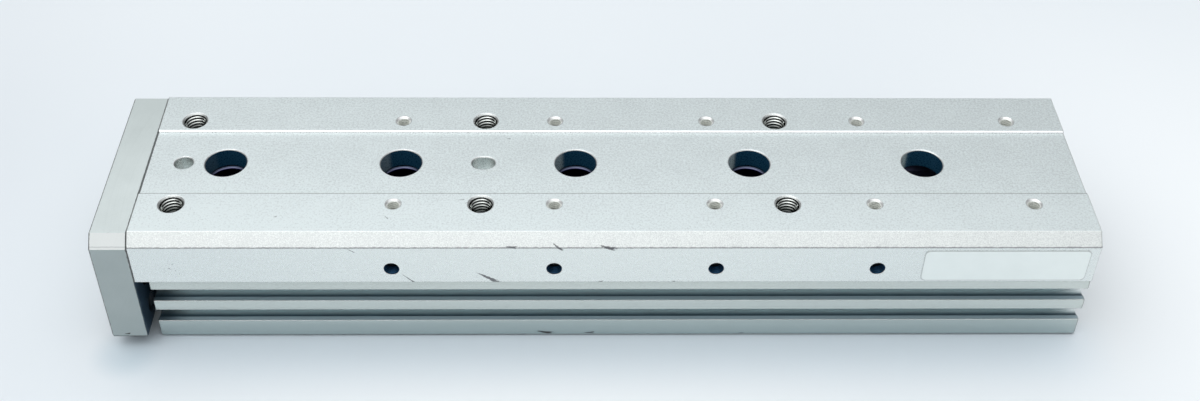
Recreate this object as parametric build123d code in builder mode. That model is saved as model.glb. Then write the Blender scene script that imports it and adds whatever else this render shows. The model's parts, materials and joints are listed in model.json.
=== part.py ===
from build123d import *
import os

os.makedirs("parts", exist_ok=True)

# All sizes are in millimetres. X runs along the stroke, Y across the table and Z up.
# The origin is the middle mounting hole on the underside of the cylinder body.
# Low X is the end plate's end, and low Y is the side with the switch grooves.

stroke = 100.0

# Mounting holes along the middle, shared by the table, the guide block and the body
mount_pitch = 38.0
mount_count = 5
mount_inset = 16.7
mount_xs = [mount_pitch * (i - (mount_count - 1) / 2) for i in range(mount_count)]

# Joint between the end plate and the table, from which lengths are taken
joint_x = mount_xs[0] - mount_inset

# Heights from the body's underside to the table's work face
body_h = 19.0
body_under_table_gap = 0.5
table_side_h = 12.5
table_web_t = 5.0
skirt_z = body_h + body_under_table_gap
total_h = skirt_z + table_side_h
web_z = total_h - table_web_t

# Crossed rollers and the square channel they run in
roller_d = 3.0
roller_l = 2.9
roller_play = 0.02
roller_pitch = 5.0
roller_count = 19
channel_side = roller_d + 2 * roller_play
channel_y = 8.2
channel_below_web = 3.4
channel_z = web_z - channel_below_web
channel_relief = 0.8
channel_relief_depth = 0.3
rail_gap = 0.8

# Moving rails on both sides of the guide block
rail_inset = 47.0
rail_l = 154.0
rail_w = 10.0
rail_under_gap = 1.0
rail_edge_chamfer = 0.3
near_wall_gap = 0.3
rail_x0 = joint_x + rail_inset
rail_z0 = body_h + rail_under_gap
rail_inner_y = channel_y + rail_gap / 2
rail_outer_y = rail_inner_y + rail_w

# Table plate, an upside-down channel over the rails
table_l = 202.5
table_wall_t = 6.4
table_edge_chamfer = 2.5
table_lower_chamfer = 0.3
table_end_chamfer = 0.2
table_recess_w = 20.6
table_recess_depth = 0.5
recess_edge_chamfer = 0.3
rim_chamfer = 0.2
access_r = 4.5
table_w = 2 * (rail_outer_y + table_wall_t)
recess_z = total_h - table_recess_depth

# Work-mounting threads of the table, each lined with a wire insert
work_inset = 7.6
work_pitch = 65.0
work_count = 3
work_y = 14.0
work_thread_r = 2.1
insert_r = 2.47
insert_sink = 0.4
insert_l = 4.2
insert_hole_r = 2.5
insert_rim_chamfer = 0.35
work_xs = [joint_x + work_inset + work_pitch * i for i in range(work_count)]

# Locating hole and slot on the table's centre line
pin_r = 2.0
pin_slot_l = 5.0
pin_depth = 3.8

# Screws that hold the moving rails under the table
rail_screw_inset = 54.15
rail_screw_pitch = 34.0
rail_screw_count = 5
rail_screw_from_wall = 4.6
rail_screw_y = rail_outer_y - rail_screw_from_wall
rail_thread_r = 1.25
rail_thread_mouth_r = 1.7
rail_screw_xs = [
    joint_x + rail_screw_inset + rail_screw_pitch * i for i in range(rail_screw_count)
]

# Set screws through the table's near side, which press on the near rail
preload_count = 4
preload_hole_r = 1.65
preload_r = 1.6
preload_sink = 2.4
preload_l = table_w / 2 - preload_sink - rail_outer_y
preload_key_af = 2.0
preload_key_depth = 2.0

# Fixed guide block on the body, between the moving rails
guide_inset = 4.0
guide_l = 154.0
guide_half_w = channel_y - rail_gap / 2
guide_top_gap = 0.5
guide_seat_depth = 0.5
guide_seat_play = 0.05
guide_hole_r = 4.4
guide_hole_mouth_r = 4.8
guide_edge_chamfer = 0.3
guide_x0 = joint_x + guide_inset
guide_top_z = web_z - guide_top_gap

# Roller cages
cage_inset = 55.0
cage_end = 3.25
cage_t = 0.4
cage_h = 5.8
cage_window_w = 3.3
cage_window_h = 4.6
cage_l = roller_pitch * (roller_count - 1) + 2 * cage_end
cage_x0 = joint_x + cage_inset
roller_xs = [cage_x0 + cage_end + roller_pitch * i for i in range(roller_count)]

# Two bores side by side
bore_r = 6.0
bore_y = 10.5
bore_z = 9.5

# Cylinder body round the bores
body_gap = 1.7
body_l = 202.0
body_side_wall = 5.5
body_corner_r = 1.0
body_end_chamfer = 0.2
body_w = 2 * (bore_y + bore_r + body_side_wall)
body_x0 = joint_x + body_gap
body_x1 = body_x0 + body_l
seat_z = body_h - guide_seat_depth
body_hole_r = 2.6
body_hole_mouth_r = 3.1
body_cbore_r = access_r
body_cbore_depth = 5.5

# Two switch grooves on the near side of the body
groove_pitch = 6.1
groove_low_z = 6.75
groove_mouth = 3.4
groove_r = 2.1
groove_centre_depth = 2.5

# Locating hole and slot in the body's underside
foot_pin_depth = 4.0

# Air ports on the far side, and the drillings that join the two bores
port_thread_r = 2.1
port_depth = 6.0
cross_drill_r = 1.25
rod_port_from_nose = 2.5
head_port_from_end = 13.2

# Retaining rings near both ends of each bore
clip_groove_r = 6.4
clip_groove_w = 1.0
clip_r = 6.35
clip_inner_r = 5.1
clip_t = 0.9
clip_gap_half_angle = 28.0
clip_lug_r = 0.9
clip_lug_hole_r = 0.4
front_clip_inset = 0.8
rear_clip_inset = 2.5
front_clip_x = body_x0 + front_clip_inset
rear_clip_x = body_x1 - rear_clip_inset

# Rods, pistons and what seals them
rod_r = 3.0
rod_running_play = 0.03
piston_play = 0.1
seal_play = 0.05
piston_l = 13.0
damper_t = 1.5
damper_r = 5.2
cover_nose_l = 5.0
cover_nose_r = 4.0
cap_nose_l = 5.0
piston_inset = 128.5
piston_x0 = joint_x + piston_inset
piston_x1 = piston_x0 + piston_l
spigot_r = 2.0
spigot_play = 0.02
rod_thread_r = 1.5
rod_thread_depth = 8.0
plug_play = 0.05
oring_r = 0.55
oring_sides = 8
oring_groove_w = 1.4
oring_centre_r = bore_r - plug_play - oring_r
oring_groove_r = oring_centre_r - oring_r - plug_play

# Grooves of the piston, from its front face back, each with a land before it
piston_land = 2.0
seal_w = 1.8
seal_floor_r = 4.5
magnet_land = 1.6
magnet_w = 3.2
magnet_floor_r = 4.0
magnet_r = 5.6
wear_land = 1.6
wear_w = 1.6
wear_floor_r = 4.9
ring_play = 0.05
seal_x = piston_x0 + piston_land
magnet_x = seal_x + seal_w + magnet_land
wear_x = magnet_x + magnet_w + wear_land

# Rod covers at the front of the bores
cover_x0 = front_clip_x + clip_groove_w
cover_x1 = piston_x0 - damper_t - stroke
cover_oring_inset = 9.0
rod_port_x = cover_x1 - rod_port_from_nose
rod_seal_pocket_r = 4.4
rod_seal_t = 2.8
rod_seal_pocket_depth = 3.0
rod_seal_r = 4.36

# Head caps, long spool-shaped plugs behind the pistons
cap_x0 = piston_x1 + damper_t
cap_x1 = rear_clip_x
head_port_x = cap_x1 - head_port_from_end
cap_land_l = 4.0
cap_waist_r = 4.6
cap_passage_r = 1.25
cap_port_depth = 6.0
plug_r = 2.05
plug_l = 4.0
plug_sink = 1.0
plug_key_af = 2.5
plug_key_depth = 2.0

# End plate and its screws
plate_t = 7.8
plate_w = table_w
plate_top_drop = 0.4
plate_h = 28.25
plate_edge_chamfer = 0.3
plate_z1 = total_h - plate_top_drop
plate_z0 = plate_z1 - plate_h
plate_x0 = joint_x - plate_t
plate_screw_in_wall = 2.6
plate_screw_above_skirt = 1.8
plate_screw_pitch = 6.6
plate_screw_y = rail_outer_y + plate_screw_in_wall
plate_screw_low_z = skirt_z + plate_screw_above_skirt
plate_screw_zs = (plate_screw_low_z, plate_screw_low_z + plate_screw_pitch)
plate_work_y = 18.5
plate_work_low = 4.15
plate_work_pitch = 8.0
plate_work_low_z = plate_z0 + plate_work_low
plate_work_zs = (plate_work_low_z, plate_work_low_z + plate_work_pitch)
plate_work_chamfer_r = 2.6
bush_flange_r = 4.2
bush_flange_t = 1.0
bush_r = 3.4
bush_play = 0.1
bush_bore_r = 1.6
bush_l = 4.0
bush_pocket_r = 4.5

# Hexagon socket cap screws, thread 3
m3_shank_r = 1.2
m3_clear_r = 1.6
m3_head_r = 2.75
m3_head_h = 3.0
m3_cbore_r = 3.05
m3_key_af = 2.5
m3_key_depth = 1.6
rail_cbore_depth = 3.2
rail_screw_sink = 2.6
rail_screw_l = total_h - rail_screw_sink - rail_z0 - rail_cbore_depth
plate_cbore_depth = 3.4
plate_screw_grip = 5.9
plate_screw_l = plate_t - plate_cbore_depth + plate_screw_grip
plate_thread_depth = 8.0
rod_screw_grip = 7.0
rod_screw_l = bush_l + rod_screw_grip
rod_screw_r = 1.45

# Hexagon socket cap screws, thread 4, for the guide block
m4_thread_r = 2.0
m4_shank_r = 1.95
m4_clear_r = 2.2
m4_head_r = 3.5
m4_head_h = 4.0
m4_cbore_r = 3.7
m4_cbore_depth = 4.3
m4_key_af = 3.0
m4_key_depth = 2.2
guide_screw_l = 9.6
guide_thread_depth = 6.4
guide_screw_xs = [x + mount_pitch / 2 for x in mount_xs[: mount_count - 1]]

# Flat-headed stop screws at the ends of the rails, which keep the cages in
stop_head_r = 1.9
stop_head_t = 1.1
stop_thread_r = 1.0
stop_shank_r = 0.95
stop_screw_l = 4.0
stop_hole_depth = 5.0
stop_slot_w = 0.5
stop_slot_depth = 0.5
stop_offset_y = 2.9

# Blank label plate on the near side of the table
label_l = 35.0
label_h = 8.5
label_t = 0.12
label_corner_r = 1.0
label_from_end = 1.9
label_above_skirt = 0.7
label_z0 = skirt_z + label_above_skirt
label_x0 = joint_x + table_l - label_from_end - label_l


def bar(x, radius, length, mode=Mode.ADD):
    """A round bar on the X axis, from x towards high X."""
    with Locations((x, 0, 0)):
        Cylinder(
            radius,
            length,
            rotation=(0, 90, 0),
            align=(Align.CENTER, Align.CENTER, Align.MIN),
            mode=mode,
        )


def in_both_bores(piece):
    """The piece made on the X axis, set into the near bore and the far bore."""
    with BuildPart() as pair:
        with Locations((0, -bore_y, bore_z), (0, bore_y, bore_z)):
            add(piece)
    return pair.part


def cap_screws(places, head_r, head_h, shank_r, shank_l, key_af, key_depth):
    """Socket cap screws, the seat of each head at its place and the shank along local Z."""
    with BuildPart() as screw:
        Cylinder(head_r, head_h, align=(Align.CENTER, Align.CENTER, Align.MAX))
        chamfer(screw.edges().sort_by(Axis.Z)[0], length=0.25)
        Cylinder(shank_r, shank_l, align=(Align.CENTER, Align.CENTER, Align.MIN))
        chamfer(screw.edges().sort_by(Axis.Z)[-1], length=0.3)
        with BuildSketch(Plane.XY.offset(-head_h)):
            RegularPolygon(key_af / 2, 6, major_radius=False)
        extrude(amount=key_depth, mode=Mode.SUBTRACT)
    with BuildPart() as screws:
        with Locations(*places):
            add(screw.part)
    return screws.part


def stop_screws(places):
    """Small slotted stop screws, the seat of each head at its place."""
    with BuildPart() as screw:
        Cylinder(stop_head_r, stop_head_t, align=(Align.CENTER, Align.CENTER, Align.MAX))
        Cylinder(stop_shank_r, stop_screw_l, align=(Align.CENTER, Align.CENTER, Align.MIN))
        with BuildSketch(Plane.XY.offset(-stop_head_t)):
            Rectangle(2 * stop_head_r, stop_slot_w)
        extrude(amount=stop_slot_depth, mode=Mode.SUBTRACT)
    with BuildPart() as screws:
        with Locations(*places):
            add(screw.part)
    return screws.part


def rail_channel_cut(y, into):
    """The V of the roller channel in a rail's section, with its relief slot."""
    with Locations((y, channel_z)):
        Rectangle(channel_side, channel_side, rotation=45, mode=Mode.SUBTRACT)
    relief_reach = channel_side / 2**0.5 + channel_relief_depth
    with Locations((y + into * relief_reach / 2, channel_z)):
        Rectangle(relief_reach, channel_relief, mode=Mode.SUBTRACT)


# Cylinder body: an extrusion with two bores and two switch grooves
with BuildPart() as cylinder_body:
    with BuildSketch(Plane.YZ.offset(body_x0)) as body_section:
        with Locations((0, body_h / 2)):
            Rectangle(body_w, body_h)
        fillet(body_section.vertices().group_by(Axis.Y)[0], radius=body_corner_r)
        with Locations((0, body_h)):
            seat_w = 2 * (guide_half_w + guide_seat_play)
            Rectangle(seat_w, 2 * guide_seat_depth, mode=Mode.SUBTRACT)
        with Locations((-bore_y, bore_z), (bore_y, bore_z)):
            Circle(bore_r, mode=Mode.SUBTRACT)
        for level in range(2):
            groove_z = groove_low_z + groove_pitch * level
            with Locations((-body_w / 2 + groove_centre_depth, groove_z)):
                Circle(groove_r, mode=Mode.SUBTRACT)
                Rectangle(
                    2 * groove_centre_depth,
                    groove_mouth,
                    mode=Mode.SUBTRACT,
                )
    extrude(amount=body_l)
    for end in (cylinder_body.faces().sort_by(Axis.X)[0], cylinder_body.faces().sort_by(Axis.X)[-1]):
        chamfer(end.outer_wire().edges(), length=body_end_chamfer)
    # Mounting holes, stepped for a cap screw from above and tapped from below
    with Locations(*[(x, 0, body_h) for x in mount_xs]):
        CounterBoreHole(body_hole_r, body_cbore_r, body_cbore_depth)
    for x in mount_xs:
        with Locations((x, 0, 0)):
            Cone(
                body_hole_mouth_r,
                body_hole_r,
                body_hole_mouth_r - body_hole_r,
                align=(Align.CENTER, Align.CENTER, Align.MIN),
                mode=Mode.SUBTRACT,
            )
    # Threads for the guide block's screws
    with Locations(*[(x, 0, seat_z) for x in guide_screw_xs]):
        Hole(m4_thread_r, depth=guide_thread_depth)
    # Grooves for the retaining rings
    for y in (-bore_y, bore_y):
        for x in (front_clip_x, rear_clip_x):
            with BuildSketch(Plane.YZ.offset(x)):
                with Locations((y, bore_z)):
                    Circle(clip_groove_r)
            extrude(amount=clip_groove_w, mode=Mode.SUBTRACT)
    # Air ports and the drillings between the bores
    for x in (rod_port_x, head_port_x):
        with Locations(Plane((x, body_w / 2, bore_z), x_dir=(1, 0, 0), z_dir=(0, 1, 0))):
            Hole(port_thread_r, depth=port_depth)
            Hole(cross_drill_r, depth=body_w / 2 + bore_y)
    # Locating hole and slot in the underside
    with BuildSketch(Plane.XY):
        with Locations((guide_screw_xs[0], 0)):
            Circle(pin_r)
        with Locations((guide_screw_xs[-1], 0)):
            SlotOverall(pin_slot_l, 2 * pin_r)
    extrude(amount=foot_pin_depth, mode=Mode.SUBTRACT)

# Guide block: the fixed inner rail of the roller guide
with BuildPart() as guide_block:
    with BuildSketch(Plane.YZ.offset(guide_x0)) as guide_section:
        with Locations((0, (seat_z + guide_top_z) / 2)):
            Rectangle(2 * guide_half_w, guide_top_z - seat_z)
        chamfer(guide_section.vertices(), length=guide_edge_chamfer)
        rail_channel_cut(channel_y, -1)
        rail_channel_cut(-channel_y, 1)
    extrude(amount=guide_l)
    with Locations(*[(x, 0, guide_top_z) for x in mount_xs[: mount_count - 1]]):
        CounterSinkHole(guide_hole_r, guide_hole_mouth_r, counter_sink_angle=90)
    with Locations(*[(x, 0, guide_top_z) for x in guide_screw_xs]):
        CounterBoreHole(m4_clear_r, m4_cbore_r, m4_cbore_depth)
    for y in (-guide_half_w + stop_offset_y, guide_half_w - stop_offset_y):
        with Locations(Plane((guide_x0, y, channel_z), z_dir=(-1, 0, 0))):
            Hole(stop_thread_r, depth=stop_hole_depth)
        with Locations(Plane((guide_x0 + guide_l, y, channel_z), z_dir=(1, 0, 0))):
            Hole(stop_thread_r, depth=stop_hole_depth)

guide_block_screws = cap_screws(
    [
        Plane((x, 0, guide_top_z - m4_cbore_depth), x_dir=(1, 0, 0), z_dir=(0, 0, -1))
        for x in guide_screw_xs
    ],
    m4_head_r,
    m4_head_h,
    m4_shank_r,
    guide_screw_l,
    m4_key_af,
    m4_key_depth,
)

guide_stop_screws = stop_screws(
    [
        Plane((guide_x0 + end * guide_l, y, channel_z), z_dir=(1 - 2 * end, 0, 0))
        for end in (0, 1)
        for y in (-guide_half_w + stop_offset_y, guide_half_w - stop_offset_y)
    ]
)

# Rod cover: guides the rod at the front of a bore
with BuildPart() as rod_cover:
    bar(cover_x0, bore_r - plug_play, cover_x1 - cover_nose_l - cover_x0)
    bar(cover_x1 - cover_nose_l, cover_nose_r, cover_nose_l)
    bar(cover_x0, rod_r + rod_running_play, cover_x1 - cover_x0, Mode.SUBTRACT)
    bar(cover_x0, rod_seal_pocket_r, rod_seal_pocket_depth, Mode.SUBTRACT)
    with BuildSketch(Plane.YZ.offset(cover_x0 + cover_oring_inset)):
        Circle(bore_r)
        Circle(oring_groove_r, mode=Mode.SUBTRACT)
    extrude(amount=oring_groove_w, mode=Mode.SUBTRACT)
rod_covers = in_both_bores(rod_cover.part)

# Rod seal in the mouth of the cover
with BuildPart() as rod_seal:
    bar(cover_x0 + rod_seal_pocket_depth - rod_seal_t, rod_seal_r, rod_seal_t)
    bar(cover_x0, rod_r + rod_running_play, rod_seal_pocket_depth, Mode.SUBTRACT)
rod_seals = in_both_bores(rod_seal.part)

# O-ring round the rod cover
with BuildPart() as rod_cover_oring:
    with BuildSketch(Plane.XZ):
        with Locations((cover_x0 + cover_oring_inset + oring_groove_w / 2, oring_centre_r)):
            RegularPolygon(oring_r, oring_sides)
    revolve(axis=Axis.X)
rod_cover_orings = in_both_bores(rod_cover_oring.part)


def retaining_ring(x):
    """An internal retaining ring with two eyes, low in the bore, its low-X face at x."""
    with BuildPart() as ring:
        with BuildSketch(Plane.YZ.offset(x)):
            Circle(clip_r)
            Circle(clip_inner_r, mode=Mode.SUBTRACT)
            with BuildLine():
                reach = 2 * clip_r
                low_left = PolarLine((0, 0), reach, 270 - clip_gap_half_angle)
                low_right = PolarLine((0, 0), reach, 270 + clip_gap_half_angle)
                Line(low_left @ 1, low_right @ 1)
            make_face(mode=Mode.SUBTRACT)
            lug_ring = (clip_inner_r + clip_r) / 2 - clip_lug_r / 2
            with PolarLocations(
                lug_ring,
                2,
                start_angle=270 - clip_gap_half_angle,
                angular_range=2 * clip_gap_half_angle,
                endpoint=True,
            ):
                Circle(clip_lug_r)
                Circle(clip_lug_hole_r, mode=Mode.SUBTRACT)
        extrude(amount=clip_t)
    return ring.part


rod_cover_retaining_rings = in_both_bores(retaining_ring(front_clip_x))
head_cap_retaining_rings = in_both_bores(retaining_ring(rear_clip_x + clip_groove_w - clip_t))

# Head cap: a spool that closes the rear of a bore and stops the piston
with BuildPart() as head_cap:
    bar(cap_x0, bore_r - plug_play, cap_x1 - cap_x0)
    with BuildSketch(Plane.YZ.offset(cap_x0)):
        Circle(bore_r)
        Circle(cover_nose_r, mode=Mode.SUBTRACT)
    extrude(amount=cap_nose_l, mode=Mode.SUBTRACT)
    front_land_x = cap_x0 + cap_nose_l
    rear_land_x = cap_x1 - 2 * cap_land_l
    waist_x = front_land_x + cap_land_l
    with BuildSketch(Plane.YZ.offset(waist_x)):
        Circle(bore_r)
        Circle(cap_waist_r, mode=Mode.SUBTRACT)
    extrude(amount=rear_land_x - waist_x, mode=Mode.SUBTRACT)
    oring_xs = [land + (cap_land_l - oring_groove_w) / 2 for land in (front_land_x, rear_land_x)]
    for x in oring_xs:
        with BuildSketch(Plane.YZ.offset(x)):
            Circle(bore_r)
            Circle(oring_groove_r, mode=Mode.SUBTRACT)
        extrude(amount=oring_groove_w, mode=Mode.SUBTRACT)
    bar(cap_x0, cap_passage_r, cap_x1 - cap_x0, Mode.SUBTRACT)
    bar(cap_x1 - cap_port_depth, port_thread_r, cap_port_depth, Mode.SUBTRACT)
    with Locations((head_port_x, 0, 0)):
        Cylinder(cross_drill_r, 2 * bore_r, rotation=(90, 0, 0), mode=Mode.SUBTRACT)
head_caps = in_both_bores(head_cap.part)

# O-rings on the two lands of the head cap
with BuildPart() as cap_oring_pair:
    with BuildSketch(Plane.XZ):
        with Locations(*[(x + oring_groove_w / 2, oring_centre_r) for x in oring_xs]):
            RegularPolygon(oring_r, oring_sides)
    revolve(axis=Axis.X)
head_cap_orings = in_both_bores(cap_oring_pair.part)

# Plug in the axial port of the head cap
with BuildPart() as port_plug:
    bar(cap_x1 - plug_sink - plug_l, plug_r, plug_l)
    with BuildSketch(Plane.YZ.offset(cap_x1 - plug_sink - plug_key_depth)):
        RegularPolygon(plug_key_af / 2, 6, major_radius=False)
    extrude(amount=plug_key_depth, mode=Mode.SUBTRACT)
port_plugs = in_both_bores(port_plug.part)

# Table plate
with BuildPart() as table_plate:
    with BuildSketch(Plane.YZ.offset(joint_x)) as table_section:
        with Locations((0, skirt_z + table_side_h / 2)):
            Rectangle(table_w, table_side_h)
        chamfer(table_section.vertices().group_by(Axis.Y)[-1], length=table_edge_chamfer)
        chamfer(table_section.vertices().group_by(Axis.Y)[0], length=table_lower_chamfer)
        channel_low = -(rail_outer_y + near_wall_gap)
        with Locations(((channel_low + rail_outer_y) / 2, (skirt_z + web_z) / 2)):
            Rectangle(rail_outer_y - channel_low, web_z - skirt_z, mode=Mode.SUBTRACT)
        with Locations((0, total_h)):
            Rectangle(table_recess_w, 2 * table_recess_depth, mode=Mode.SUBTRACT)
        top_corners = table_section.vertices().group_by(Axis.Y)[-1]
        chamfer(top_corners.sort_by(lambda corner: abs(corner.X))[:2], length=recess_edge_chamfer)
    extrude(amount=table_l)
    for end in (table_plate.faces().sort_by(Axis.X)[0], table_plate.faces().sort_by(Axis.X)[-1]):
        chamfer(end.outer_wire().edges(), length=table_end_chamfer)
    with Locations(*[(x, 0, recess_z) for x in mount_xs]):
        Hole(access_r)
    with Locations(*[(x, y, total_h) for x in work_xs for y in (-work_y, work_y)]):
        CounterSinkHole(insert_hole_r, insert_hole_r + insert_rim_chamfer, counter_sink_angle=90)
    with Locations(
        *[(x, y, total_h) for x in rail_screw_xs for y in (-rail_screw_y, rail_screw_y)]
    ):
        CounterSinkHole(rail_thread_r, rail_thread_mouth_r, counter_sink_angle=90)
    with BuildSketch(Plane.XY.offset(recess_z)):
        with Locations((work_xs[0], 0)):
            Circle(pin_r)
        with Locations((work_xs[1], 0)):
            SlotOverall(pin_slot_l, 2 * pin_r)
    extrude(amount=-pin_depth, mode=Mode.SUBTRACT)
    # The holes in the recess have a small chamfer round their rims
    level_faces = table_plate.faces().filter_by(Axis.Z)
    recess_face = level_faces.sort_by(lambda face: abs(face.center().Z - recess_z))[0]
    chamfer([e for rim in recess_face.inner_wires() for e in rim.edges()], length=rim_chamfer)
    for x in rail_screw_xs[:preload_count]:
        with Locations(Plane((x, -table_w / 2, channel_z), x_dir=(1, 0, 0), z_dir=(0, -1, 0))):
            Hole(preload_hole_r, depth=table_wall_t + near_wall_gap)
    for y in (-plate_screw_y, plate_screw_y):
        for z in plate_screw_zs:
            with Locations(Plane((joint_x, y, z), z_dir=(-1, 0, 0))):
                Hole(rail_thread_r, depth=plate_thread_depth)

# Wire thread inserts in the table's work-mounting holes
with BuildPart() as thread_inserts:
    with BuildSketch(Plane.XY.offset(total_h - insert_sink)):
        with Locations(*[(x, y) for x in work_xs for y in (-work_y, work_y)]):
            Circle(insert_r)
            Circle(work_thread_r, mode=Mode.SUBTRACT)
    extrude(amount=-insert_l)


def moving_rail(side):
    """An outer rail with its V towards the guide block; side is -1 near and 1 far."""
    with BuildPart() as rail:
        with BuildSketch(Plane.YZ.offset(rail_x0)) as section:
            with Locations((side * (rail_inner_y + rail_w / 2), (rail_z0 + web_z) / 2)):
                Rectangle(rail_w, web_z - rail_z0)
            chamfer(section.vertices(), length=rail_edge_chamfer)
            rail_channel_cut(side * channel_y, side)
        extrude(amount=rail_l)
        for x in rail_screw_xs:
            with Locations(Plane((x, side * rail_screw_y, rail_z0), z_dir=(0, 0, -1))):
                CounterBoreHole(m3_clear_r, m3_cbore_r, rail_cbore_depth)
        stop_y = side * (rail_inner_y + stop_offset_y)
        with Locations(Plane((rail_x0, stop_y, channel_z), z_dir=(-1, 0, 0))):
            Hole(stop_thread_r, depth=stop_hole_depth)
        with Locations(Plane((rail_x0 + rail_l, stop_y, channel_z), z_dir=(1, 0, 0))):
            Hole(stop_thread_r, depth=stop_hole_depth)
    return rail.part


rail_near = moving_rail(-1)
rail_far = moving_rail(1)

rail_screws = cap_screws(
    [
        (x, y, rail_z0 + rail_cbore_depth)
        for x in rail_screw_xs
        for y in (-rail_screw_y, rail_screw_y)
    ],
    m3_head_r,
    m3_head_h,
    m3_shank_r,
    rail_screw_l,
    m3_key_af,
    m3_key_depth,
)

rail_stop_screws = stop_screws(
    [
        Plane((rail_x0 + end * rail_l, y, channel_z), z_dir=(1 - 2 * end, 0, 0))
        for end in (0, 1)
        for y in (-rail_inner_y - stop_offset_y, rail_inner_y + stop_offset_y)
    ]
)

# Set screws that press the near rail towards the guide block
with BuildPart() as preload_screws:
    with BuildSketch(Plane.XZ.offset(rail_outer_y)):
        with Locations(*[(x, channel_z) for x in rail_screw_xs[:preload_count]]):
            Circle(preload_r)
    extrude(amount=preload_l)
    with BuildSketch(Plane.XZ.offset(rail_outer_y + preload_l)):
        with Locations(*[(x, channel_z) for x in rail_screw_xs[:preload_count]]):
            RegularPolygon(preload_key_af / 2, 6, major_radius=False)
    extrude(amount=-preload_key_depth, mode=Mode.SUBTRACT)

# End plate, which joins the table to the rods
with BuildPart() as end_plate:
    with BuildSketch(Plane.YZ.offset(plate_x0)) as plate_section:
        with Locations((0, (plate_z0 + plate_z1) / 2)):
            Rectangle(plate_w, plate_h)
        chamfer(plate_section.vertices().group_by(Axis.Y)[-1], length=table_edge_chamfer)
    extrude(amount=plate_t)
    chamfer(end_plate.faces().sort_by(Axis.X)[0].edges(), length=plate_edge_chamfer)
    chamfer(end_plate.faces().sort_by(Axis.X)[-1].edges(), length=table_end_chamfer)
    for y in (-plate_screw_y, plate_screw_y):
        for z in plate_screw_zs:
            with Locations(Plane((plate_x0, y, z), z_dir=(-1, 0, 0))):
                CounterBoreHole(m3_clear_r, m3_cbore_r, plate_cbore_depth)
    for y in (-plate_work_y, plate_work_y):
        for z in plate_work_zs:
            with Locations(Plane((plate_x0, y, z), z_dir=(-1, 0, 0))):
                CounterSinkHole(work_thread_r, plate_work_chamfer_r, counter_sink_angle=90)
    for y in (-bore_y, bore_y):
        with Locations(Plane((plate_x0, y, bore_z), z_dir=(-1, 0, 0))):
            CounterBoreHole(bush_r + bush_play, bush_pocket_r, plate_t - bush_l + bush_flange_t)

end_plate_screws = cap_screws(
    [
        Plane((plate_x0 + plate_cbore_depth, y, z), z_dir=(1, 0, 0))
        for y in (-plate_screw_y, plate_screw_y)
        for z in plate_screw_zs
    ],
    m3_head_r,
    m3_head_h,
    m3_shank_r,
    plate_screw_l,
    m3_key_af,
    m3_key_depth,
)

# Floating bush between the end plate and a rod
with BuildPart() as floating_bush:
    bar(joint_x - bush_l, bush_flange_r, bush_flange_t)
    bar(joint_x - bush_l, bush_r, bush_l)
    bar(joint_x - bush_l, bush_bore_r, bush_l, Mode.SUBTRACT)
floating_bushes = in_both_bores(floating_bush.part)

rod_end_screws = cap_screws(
    [Plane((joint_x - bush_l, y, bore_z), z_dir=(1, 0, 0)) for y in (-bore_y, bore_y)],
    m3_head_r,
    m3_head_h,
    rod_screw_r,
    rod_screw_l,
    m3_key_af,
    m3_key_depth,
)

# Piston rod, with a spigot through its piston
with BuildPart() as piston_rod:
    bar(joint_x, rod_r, piston_x0 - joint_x)
    bar(piston_x0, spigot_r, piston_l)
    bar(joint_x, rod_thread_r, rod_thread_depth, Mode.SUBTRACT)
piston_rods = in_both_bores(piston_rod.part)

# Piston, grooved for its seal, its magnet and its wear ring
with BuildPart() as piston:
    bar(piston_x0, bore_r - piston_play, piston_l)
    for x, width, floor_r in (
        (seal_x, seal_w, seal_floor_r),
        (magnet_x, magnet_w, magnet_floor_r),
        (wear_x, wear_w, wear_floor_r),
    ):
        with BuildSketch(Plane.YZ.offset(x)):
            Circle(bore_r)
            Circle(floor_r, mode=Mode.SUBTRACT)
        extrude(amount=width, mode=Mode.SUBTRACT)
    bar(piston_x0, spigot_r + spigot_play, piston_l, Mode.SUBTRACT)
pistons = in_both_bores(piston.part)


def piston_ring(x, width, floor_r, outer_r):
    """A ring that fills a groove of the piston."""
    with BuildPart() as ring:
        bar(x + ring_play, outer_r, width - 2 * ring_play)
        bar(x, floor_r + ring_play, width, Mode.SUBTRACT)
    return in_both_bores(ring.part)


piston_seals = piston_ring(seal_x, seal_w, seal_floor_r, bore_r - seal_play)
piston_magnets = piston_ring(magnet_x, magnet_w, magnet_floor_r, magnet_r)
wear_rings = piston_ring(wear_x, wear_w, wear_floor_r, bore_r - seal_play)

# Rubber dampers on both faces of a piston
with BuildPart() as damper_pair:
    bar(piston_x0 - damper_t, damper_r, damper_t)
    bar(piston_x0 - damper_t, rod_r + ring_play, damper_t, Mode.SUBTRACT)
    bar(piston_x1, damper_r, damper_t)
    bar(piston_x1, cap_passage_r, damper_t, Mode.SUBTRACT)
piston_dampers = in_both_bores(damper_pair.part)


def roller_cage(side):
    """The thin strip that spaces the rollers of one channel."""
    with BuildPart() as cage:
        with BuildSketch(Plane.XZ.offset(-side * channel_y - cage_t / 2)):
            with Locations((cage_x0 + cage_l / 2, channel_z)):
                RectangleRounded(cage_l, cage_h, 0.6)
            with Locations(*[(x, channel_z) for x in roller_xs]):
                Rectangle(cage_window_w, cage_window_h, mode=Mode.SUBTRACT)
        extrude(amount=cage_t)
    return cage.part


def rollers(side):
    """Rollers of one channel, each turned a quarter turn from the next."""
    with BuildPart() as row:
        for i, x in enumerate(roller_xs):
            with Locations((x, side * channel_y, channel_z)):
                Cylinder(roller_d / 2, roller_l, rotation=(45 + 90 * (i % 2), 0, 0))
    return row.part


roller_cage_near = roller_cage(-1)
roller_cage_far = roller_cage(1)
rollers_near = rollers(-1)
rollers_far = rollers(1)

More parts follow.
